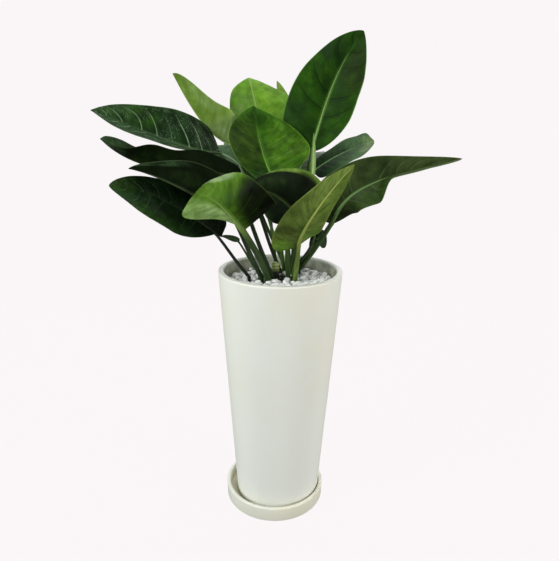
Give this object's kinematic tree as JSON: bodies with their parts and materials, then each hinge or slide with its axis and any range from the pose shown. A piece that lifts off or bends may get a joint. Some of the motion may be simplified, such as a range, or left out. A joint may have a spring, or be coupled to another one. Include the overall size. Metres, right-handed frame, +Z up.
{
  "type": "potted philodendron",
  "caption": "Floor-standing philodendron with large pointed leaves on long stalks, in a tall tapered round planter topped with pebbles, standing on a shallow saucer.",
  "frame": {"origin": "centre of the saucer's flat underside, on the surface it stands on", "axes": "+Z up along the planter; the side shown in the picture looks along -Y, and +X is to the right of someone looking at that side"},
  "size_m": [0.6246, 0.4677, 0.9529],
  "materials": {
    "saucer_glaze": "satin",
    "pot_glaze": "satin",
    "potting_soil": "matte",
    "marble_chips": "matte",
    "crown_bark": "matte",
    "leaf_bright_green": "satin",
    "leaf_mid_green": "satin",
    "leaf_dark_green": "satin",
    "leaf_grey_green": "satin"
  },
  "bodies": {
    "root": {"saucer": "saucer_glaze", "pot": "pot_glaze", "soil": "potting_soil", "pebbles": "marble_chips", "crown_stem": "crown_bark", "leaf_crest": "leaf_mid_green", "leaf_centre": "leaf_mid_green", "leaf_back_dome": "leaf_bright_green", "leaf_back_blade": "leaf_bright_green", "leaf_left_flag": "leaf_bright_green", "leaf_left_high": "leaf_dark_green", "leaf_left_mid": "leaf_dark_green", "leaf_left_low": "leaf_dark_green", "leaf_left_base": "leaf_dark_green", "leaf_front_left": "leaf_bright_green", "leaf_front_dark": "leaf_dark_green", "leaf_front_right": "leaf_bright_green", "leaf_right_long": "leaf_dark_green", "leaf_right_back": "leaf_grey_green", "leaf_young_right": "leaf_bright_green", "leaf_back_left": "leaf_grey_green", "leaf_low_right": "leaf_dark_green", "leaf_low_back": "leaf_dark_green", "leaf_rear_left": "leaf_mid_green", "leaf_rear_right": "leaf_mid_green"}
  },
  "joints": []
}
